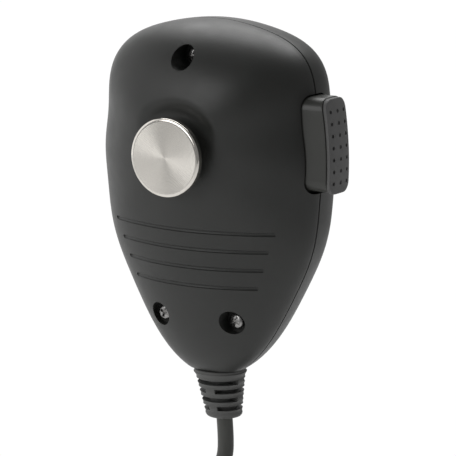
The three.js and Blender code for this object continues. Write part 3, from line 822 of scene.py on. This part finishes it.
class MIC_OT_screws(bpy.types.Operator):
    """Cross-recessed case screws"""
    bl_idname = "mic.screws"
    bl_label = "Case screws"

    def execute(self, context):
        steel = metal("blackened_steel", (0.34, 0.335, 0.33), 0.26, 0.004)
        for name, (x, z, seat) in WELLS.items():
            obj = self.screw(name + "_turned", x, z, seat - GAP)
            dress(obj, steel, "case", [name])
        return {"FINISHED"}

    def screw(self, name, x, z, seat):
        """A domed screw with a cross recess, its head's underside at the seat."""
        radius, height, shank = 2.0 * MM, 1.6 * MM, 1.3 * MM
        profile = [(0, -height)]
        for i in range(1, 9):
            t = math.pi / 2 * i / 8
            dome = max(0.0, math.cos(t)) ** 0.7
            profile.append((radius * math.sin(t), -height * (0.45 + 0.55 * dome)))
        profile += [(radius, 0), (shank, 0)]
        for i in range(8):
            level = (i + 0.5) * 1.3 * MM
            profile += [(shank * 0.82, level), (shank, level + 0.65 * MM)]
        profile += [(0.2 * MM, 12 * MM), (0, 12 * MM)]
        obj = finish_object(name, shifted(spun(profile, "Y", 40), x, seat, z))
        long, wide = 1.35 * MM, 0.36 * MM
        top, floor = seat - height - 1 * MM, seat - height * 0.38
        arms = []
        for a, b in ((long, wide), (wide, long)):
            arm = rounded_block((-a, top, -b), (a, floor, b))
            bmesh.ops.rotate(arm, verts=arm.verts, cent=(0, 0, 0),
                             matrix=Matrix.Rotation(0.4, 3, "Y"))
            arms.append(shifted(arm, x=x, z=z))
        for arm in arms:
            combine(obj, arm)
        return tidy_shading(obj, 30.0)


# ---- talk bar ----
TALK_FACE_X = 37.0 * MM
TALK_CROWN = 1.6 * MM
TALK_CROWN_Z = -2.5 * MM
TALK_CROWN_SPAN = 17 * MM
PAD_THICKNESS = 1.3 * MM


def talk_face(z):
    """How far out the pad's face stands at a height."""
    return TALK_FACE_X - TALK_CROWN * ((z - TALK_CROWN_Z) / TALK_CROWN_SPAN) ** 2


def crowned_block(low, high, back_x, face_depth, corner, edge, across_crown):
    """A rounded bar whose outer face follows the talk face less a depth."""
    bm = bmesh.new()
    low, high = Vector((0, *low)), Vector((1, *high))
    bmesh.ops.create_cube(bm, size=1.0)
    bmesh.ops.scale(bm, verts=bm.verts, vec=high - low)
    bmesh.ops.translate(bm, verts=bm.verts, vec=(low + high) / 2)
    corners = [e for e in bm.edges if abs(e.verts[0].co.x - e.verts[1].co.x) > 0.5]
    bmesh.ops.bevel(bm, geom=corners, offset=corner, offset_type="OFFSET", segments=8,
                    profile=0.5, affect="EDGES", material=-1)
    # slices across z let the face bow, and slices across y let it crown
    for count, normal, start, end in ((24, (0, 0, 1), low.z, high.z),
                                      (9, (0, 1, 0), low.y, high.y)):
        for i in range(1, count):
            level = start + (end - start) * i / count
            point = tuple(level * n for n in normal)
            geom = bm.verts[:] + bm.edges[:] + bm.faces[:]
            bmesh.ops.bisect_plane(bm, geom=geom, dist=1e-8, plane_co=point, plane_no=normal)
    middle = (low.y + high.y) / 2
    half = (high.y - low.y) / 2
    rim = [e for e in bm.edges if all(v.co.x > 0.5 for v in e.verts) and any(
        abs(f.normal.x) < 0.5 for f in e.link_faces)]
    for vert in bm.verts:
        if vert.co.x > 0.5:
            side = (vert.co.y - middle) / half
            vert.co.x = talk_face(vert.co.z) - face_depth - across_crown * side * side
        else:
            vert.co.x = back_x(vert.co.z)
    bmesh.ops.bevel(bm, geom=rim, offset=edge, offset_type="OFFSET", segments=5, profile=0.5,
                    affect="EDGES", clamp_overlap=True, material=-1)
    bmesh.ops.recalc_face_normals(bm, faces=bm.faces)
    return bm


class MIC_OT_talk_bar(bpy.types.Operator):
    """The talk bar and its dimpled rubber pad"""
    bl_idname = "mic.talk_bar"
    bl_label = "Talk bar"

    def execute(self, context):
        look = context.scene.mic_talk
        plastic = moulded("talk_plastic", look.bar_color, 0.38, 0.008)
        rubber = moulded("talk_rubber", look.pad_color, 0.62, 0.03, 3200.0)
        depth = PAD_THICKNESS + 0.02 * MM
        bar = finish_object("talk_lever", crowned_block(
            (18.9 * MM, -8.8 * MM), (29.3 * MM, 15.0 * MM), lambda z: 27.5 * MM, depth,
            3.0 * MM, 0.85 * MM, 0.0))
        low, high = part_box("ptt_bar")
        # the pivot lug, the finger over the switch and the stop behind the case wall
        inner = (
            ((low[0], 20.1 * MM, 10.2 * MM), (28.5 * MM, 28.1 * MM, 14.6 * MM), 0.6 * MM),
            ((20 * MM, 19.9 * MM, -4.4 * MM), (28.5 * MM, 22.5 * MM, -1.6 * MM), 0.4 * MM),
            ((26.5 * MM, 21 * MM, low[2]), (28.2 * MM, 27.2 * MM, -7 * MM), 0.3 * MM),
        )
        for near, away, edge in inner:
            combine(bar, rounded_block(near, away, edge, 3), "UNION")
        combine(bar, cylinder_y(25.6 * MM, 12.4 * MM, 1.1 * MM, 0, 0.06, 32))
        dress(tidy_shading(bar), plastic, "talk_bar", ["ptt_bar"])
        pad = finish_object("talk_pad", crowned_block(
            (19.3 * MM, -9.2 * MM), (29.1 * MM, 14.8 * MM),
            lambda z: talk_face(z) - PAD_THICKNESS + 0.05 * MM, 0.0, 2.8 * MM, 0.9 * MM, 0.35 * MM))
        combine(pad, self.dimples(look.dimple_radius))
        dress(tidy_shading(pad, 40.0), rubber, "talk_bar", ["ptt_grip_pad"])
        return {"FINISHED"}

    def dimples(self, radius):
        """Round-bottomed cutters in three columns of seven."""
        cutters = []
        for row in range(7):
            for column in range(3):
                y = (24.2 + 3.2 * (column - 1)) * MM
                z = (2.6 + 3.0 * (row - 3)) * MM
                bm = bmesh.new()
                bmesh.ops.create_uvsphere(bm, u_segments=16, v_segments=10, radius=radius)
                x = talk_face(z) - (0.3 * MM if column != 1 else 0.0) - 0.05 * MM
                cutters.append(shifted(bm, x, y, z))
        return joined(cutters)


# ---- strain relief ----
class MIC_OT_strain_relief(bpy.types.Operator):
    """The slotted rubber boot that the cord leaves through"""
    bl_idname = "mic.strain_relief"
    bl_label = "Strain relief"

    def execute(self, context):
        look = context.scene.mic_cord
        rubber = moulded("boot_rubber", look.boot_color, 0.6, 0.02)
        # radii and heights in millimetres, from the neck inside the case to the free end
        rows = (-62.1, -64.5, -66.95, -69.35)
        pitch = (rows[0] - rows[-1]) / 3
        bore, neck, top, end = 2.45, 3.95, -58.9, -72.3
        profile = [(bore, -53), (5.2, -53), (5.2, -55.5), (neck, -55.5), (neck, top), (6.5, top),
                   (6.75, top - 0.2), (6.72, top - 0.5)]
        last = end + 1.5
        steps = 66
        for i in range(steps + 1):
            level = top - 0.9 + (last - top + 0.9) * i / steps
            wave = 0.5 - 0.5 * math.cos(2 * math.pi * (level - rows[0]) / pitch)
            flare = 0.35 * max(0.0, (level - rows[0]) / (top - rows[0])) ** 2
            profile.append((6.42 + flare - 0.158 * (rows[0] - level) - 0.27 * wave, level))
        for i in range(1, 8):
            t = math.pi / 2 * i / 7
            profile.append((3.9 + 1.0 * math.cos(t), end + 1.3 * (1 - math.sin(t))))
        profile += [(bore, end), (bore, -53)]
        bm = spun([(r * MM, h * MM) for r, h in profile], "Z", 120)
        boot = finish_object("cord_boot", bm)
        combine(boot, joined(self.slots(rows)))
        lean, entry = 0.16, 26.5
        for vert in boot.data.vertices:
            vert.co.y += (entry + (top - vert.co.z / MM) * lean) * MM
        dress(tidy_shading(boot, 38.0), rubber, "case", ["strain_relief"])
        return {"FINISHED"}

    def slots(self, levels):
        """Cutters of two slots to a row, each row a quarter turn on from the last."""
        cutters = []
        half_angle = math.radians(77)
        for row, level in enumerate(levels):
            for side in (0, 1):
                bm = bmesh.new()
                inner, outer, half = 3.5 * MM, 9 * MM, 0.62 * MM
                middle = -math.pi / 2 + math.pi / 2 * row + math.pi * side
                start = middle - half_angle
                corners = [(inner, level * MM - half), (outer, level * MM - half),
                           (outer, level * MM + half), (inner, level * MM + half)]
                verts = [bm.verts.new((r * math.cos(start), r * math.sin(start), h))
                         for r, h in corners]
                face = bm.faces.new(verts)
                bmesh.ops.spin(bm, geom=[face] + verts + face.edges[:], cent=(0, 0, 0),
                               axis=(0, 0, 1), angle=2 * half_angle, steps=28)
                bmesh.ops.remove_doubles(bm, verts=bm.verts, dist=1e-8)
                bmesh.ops.recalc_face_normals(bm, faces=bm.faces)
                cutters.append(bm)
        return cutters


# ---- plug ----
class MIC_OT_plug(bpy.types.Operator):
    """The round plug with its knurled locking ring"""
    bl_idname = "mic.plug"
    bl_label = "Plug"

    def execute(self, context):
        nickel = metal("nickel", (0.62, 0.61, 0.58), 0.22, 0.002)
        black = moulded("bushing_rubber", (0.02, 0.02, 0.02), 0.6)
        low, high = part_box("plug_shell")
        self.centre = ((low[0] + high[0]) / 2, (low[1] + high[1]) / 2)
        # radii, and heights down from the cord's end, in millimetres
        bushing = [(0, 0), (2.9, 0), (3.6, 0.3), (4.0, 0.9), (4.3, 1.8), (4.3, 6.6), (3.9, 7.0),
                   (3.2, 7.0), (3.2, 9), (0, 9)]
        dress(self.hung("plug_collar", bushing), black, "case", ["plug_bushing"])
        shell = [(0, 9.3), (3.6, 9.3), (3.6, 7.4), (5.6, 7.4), (6.3, 7.9), (7.2, 9.9), (7.4, 10.6),
                 (7.4, 12.0), (7.2, 12.2), (7.2, 12.8), (7.4, 13.0), (7.4, 27.4), (7.9, 27.5),
                 (8.0, 27.8), (8.0, 31.7), (7.8, 32), (7.0, 32), (6.9, 31.8), (6.9, 14), (0, 14)]
        dress(self.hung("plug_barrel", shell), nickel, "case", ["plug_shell"])
        ring = [(7.7, 24.7), (9.2, 24.7), (9.55, 25.2), (9.55, 36.9), (9.2, 37.4), (8.5, 37.4),
                (8.35, 37.1), (8.35, 27.2), (7.7, 27.2), (7.7, 24.7)]
        obj = self.hung("plug_ring", ring, 180)
        self.knurl(obj)
        dress(obj, nickel, "locking_ring", ["plug_locking_ring"])
        return {"FINISHED"}

    def hung(self, name, profile, steps=72):
        """Spins a profile about the plug's axis, its heights measured down from the cord."""
        bm = spun([(r * MM, PLUG_TOP_Z - h * MM) for r, h in profile], "Z", steps)
        return finish_object(name, shifted(bm, self.centre[0], self.centre[1]), 30.0)

    def knurl(self, obj):
        """Presses ridges into the ring's grip."""
        low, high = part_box("plug_locking_ring")
        for vert in obj.data.vertices:
            across = Vector((vert.co.x - self.centre[0], vert.co.y - self.centre[1]))
            grip = low[2] + 0.8 * MM < vert.co.z < high[2] + 1 * MM
            if across.length > 9.3 * MM and grip:
                angle = math.atan2(across.y, across.x)
                across *= 1 - 0.025 * (0.5 + 0.5 * math.cos(45 * angle))
                vert.co.x = self.centre[0] + across.x
                vert.co.y = self.centre[1] + across.y


# ---- pieces that keep their frame mesh ----
class MIC_OT_fittings(bpy.types.Operator):
    """Finishes of the pieces inside the case and the plug"""
    bl_idname = "mic.fittings"
    bl_label = "Inner pieces"

    def execute(self, context):
        zinc = metal("zinc_steel", (0.5, 0.5, 0.48), 0.3)
        black = moulded("black_plastic", (0.018, 0.018, 0.018), 0.45)
        finishes = {
            "circuit_board": moulded("board_green", (0.012, 0.1, 0.035), 0.3, 0.01, 900.0),
            "switch_plunger": moulded("ivory_plastic", (0.5, 0.47, 0.4), 0.4),
            "mic_capsule": metal("capsule_metal", (0.6, 0.6, 0.58), 0.3),
            "capsule_holder": moulded("holder_rubber", (0.013, 0.013, 0.013), 0.75),
            "grille_felt": moulded("felt", (0.01, 0.01, 0.01), 0.95, 0.15, 4000.0),
            "cord_inner_end": moulded("inner_jacket", (0.04, 0.041, 0.038), 0.5),
            "cord_anchor_tie": moulded("tie_nylon", (0.015, 0.015, 0.015), 0.45),
            "wire_1": moulded("wire_white", (0.5, 0.5, 0.47), 0.4),
            "wire_2": moulded("wire_red", (0.37, 0.023, 0.016), 0.4),
            "wire_3": moulded("wire_blue", (0.026, 0.114, 0.342), 0.4),
            "wire_4": moulded("wire_yellow", (0.57, 0.376, 0.025), 0.4),
            "plug_insulator": moulded("insulator_resin", (0.25, 0.145, 0.045), 0.4, 0.01, 1500.0),
        }
        for name in ("switch_body", "capacitor", "preamp_chip"):
            finishes[name] = black
        for name in ("hang_button_washer", "hang_button_screw", "ptt_pivot_pin", "ptt_return_spring",
                     "board_screw_1", "board_screw_2", "capsule_lead_1", "capsule_lead_2"):
            finishes[name] = zinc
        gold = metal("contact_gold", (0.7, 0.52, 0.2), 0.2)
        for i in range(1, 9):
            finishes[f"plug_contact_{i}"] = gold
        for name, material in finishes.items():
            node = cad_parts[name]
            node.data.materials.clear()
            node.data.materials.append(material)
        return {"FINISHED"}


class MIC_PT_panel(bpy.types.Panel):
    """Lists the pieces of the microphone"""
    bl_label = "Hand microphone"
    bl_idname = "MIC_PT_panel"
    bl_space_type = "VIEW_3D"
    bl_region_type = "UI"
    bl_category = "Microphone"

    def draw(self, context):
        for operator in OPERATORS:
            self.layout.operator(operator.bl_idname)
        for name, group in LOOKS.items():
            box = self.layout.box()
            box.label(text=group.__doc__)
            for key in group.__annotations__:
                box.prop(getattr(context.scene, name), key)


OPERATORS = (MIC_OT_stage, MIC_OT_plug, MIC_OT_cord, MIC_OT_case, MIC_OT_button, MIC_OT_screws,
             MIC_OT_talk_bar, MIC_OT_strain_relief, MIC_OT_fittings)
LOOKS = {"mic_stage": StageLook, "mic_cord": CordLook, "mic_case": CaseLook,
         "mic_button": ButtonLook, "mic_talk": TalkLook}


def register():
    for name, group in LOOKS.items():
        bpy.utils.register_class(group)
        setattr(bpy.types.Scene, name, bpy.props.PointerProperty(type=group))
    for operator in OPERATORS:
        bpy.utils.register_class(operator)
    bpy.utils.register_class(MIC_PT_panel)


def unregister():
    bpy.utils.unregister_class(MIC_PT_panel)
    for operator in reversed(OPERATORS):
        bpy.utils.unregister_class(operator)
    for name, group in LOOKS.items():
        delattr(bpy.types.Scene, name)
        bpy.utils.unregister_class(group)


def main():
    """Builds every piece in order."""
    register()
    bpy.ops.mic.stage()
    bpy.ops.mic.plug()
    bpy.ops.mic.cord()
    bpy.ops.mic.case()
    bpy.ops.mic.button()
    bpy.ops.mic.screws()
    bpy.ops.mic.talk_bar()
    bpy.ops.mic.strain_relief()
    bpy.ops.mic.fittings()


if __name__ == "__main__":
    main()
